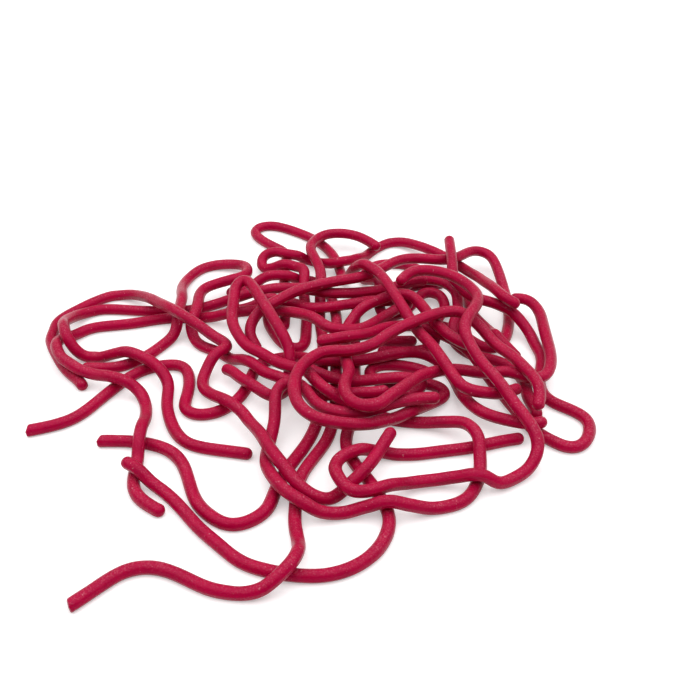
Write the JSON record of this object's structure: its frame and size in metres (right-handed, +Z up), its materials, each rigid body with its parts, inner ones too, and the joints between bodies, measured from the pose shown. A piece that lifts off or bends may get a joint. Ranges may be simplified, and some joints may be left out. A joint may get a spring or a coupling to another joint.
{
  "type": "soft plastic worms",
  "caption": "Loose tangled heap of long, thin, plain round soft plastic bait worms in crimson, lying as they were tipped out on a table.",
  "frame": {"origin": "on the table, under the middle of the heap's box", "axes": "+Z up from the table, +X to the right and +Y to the back as the picture shows the heap"},
  "size_m": [0.1178, 0.13, 0.0136],
  "materials": {
    "worm_plastic": "matte, slightly powdery"
  },
  "bodies": {
    "root": {"front_worm": "worm_plastic", "second_tip_worm": "worm_plastic", "third_tip_worm": "worm_plastic", "front_bottom_worm": "worm_plastic", "top_worm": "worm_plastic", "outer_loop_worm": "worm_plastic", "inner_hairpin_worm": "worm_plastic", "left_hook_worm": "worm_plastic", "left_tip_worm": "worm_plastic", "bent_over_worm": "worm_plastic", "big_loop_worm": "worm_plastic", "diagonal_worm": "worm_plastic", "back_worm": "worm_plastic", "right_hairpin_worm": "worm_plastic", "curl_worm": "worm_plastic", "left_back_worm": "worm_plastic", "back_ring_worm": "worm_plastic", "inner_arc_worm": "worm_plastic", "far_arc_worm": "worm_plastic"}
  },
  "joints": []
}
